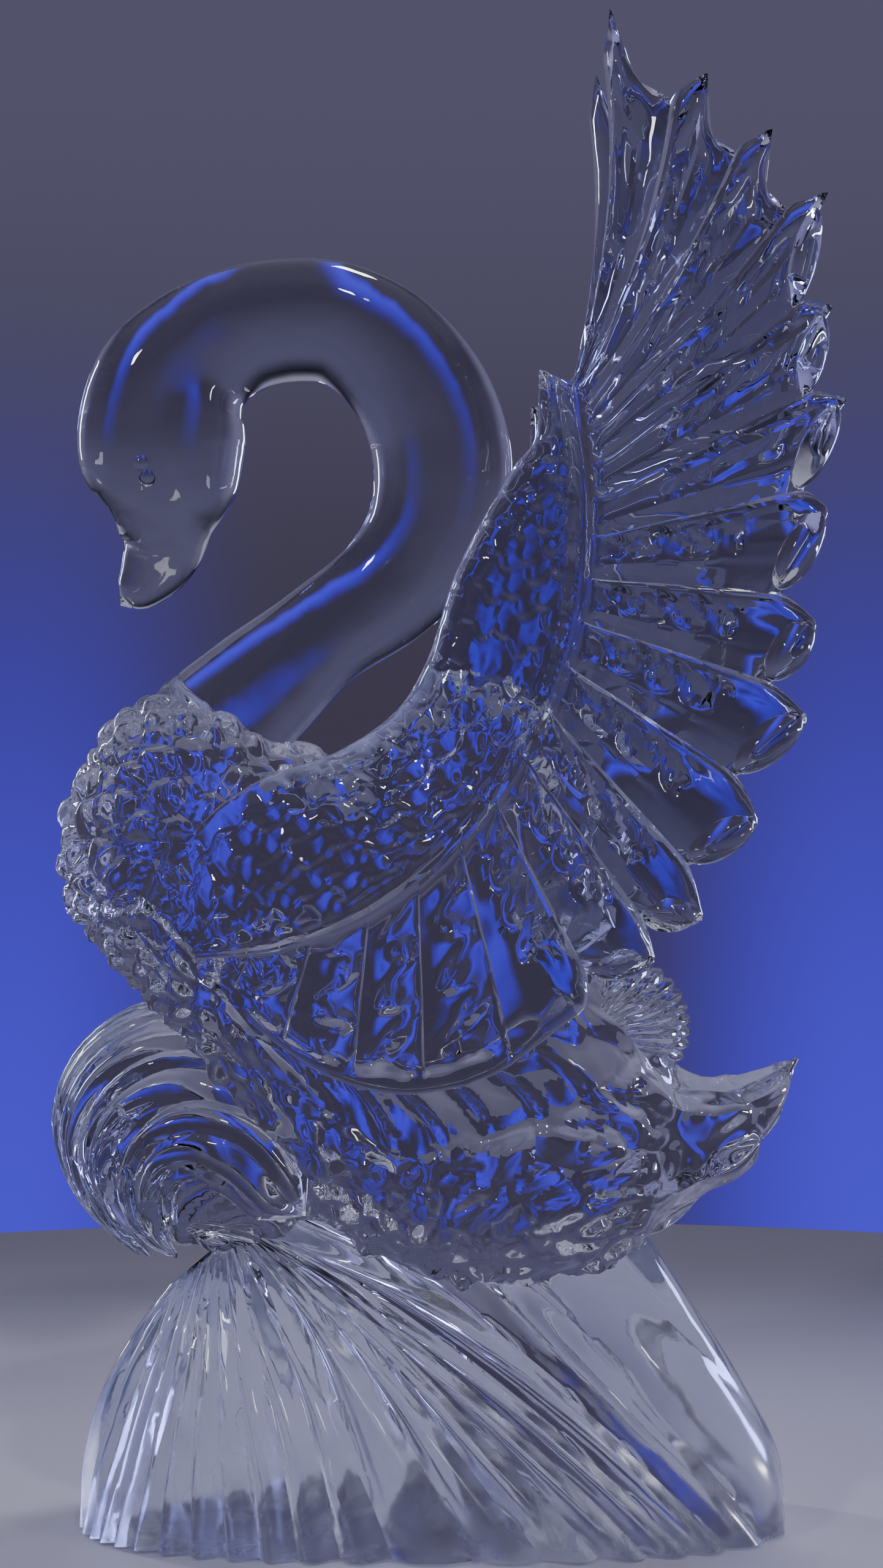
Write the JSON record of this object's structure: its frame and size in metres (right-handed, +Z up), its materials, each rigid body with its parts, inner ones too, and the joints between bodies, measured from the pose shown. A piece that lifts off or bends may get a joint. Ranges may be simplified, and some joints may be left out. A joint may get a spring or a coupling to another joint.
{
  "type": "ice swan sculpture",
  "caption": "Upright swan with a hooked neck and raised, fanned wings on a breaking wave and a fluted water base, carved in one piece from clear ice, for a buffet centrepiece.",
  "frame": {"origin": "middle of the flat underside's box, on the surface that the sculpture stands on", "axes": "+Z up to the wing tips, -X the way the swan looks, +Y from the swan's left side to its right side, through the block's thickness"},
  "size_m": [0.507, 0.245, 0.97],
  "materials": {
    "clear_ice": "clear, wet, polished by melting"
  },
  "bodies": {
    "root": {"ice_swan": "clear_ice"}
  },
  "joints": []
}
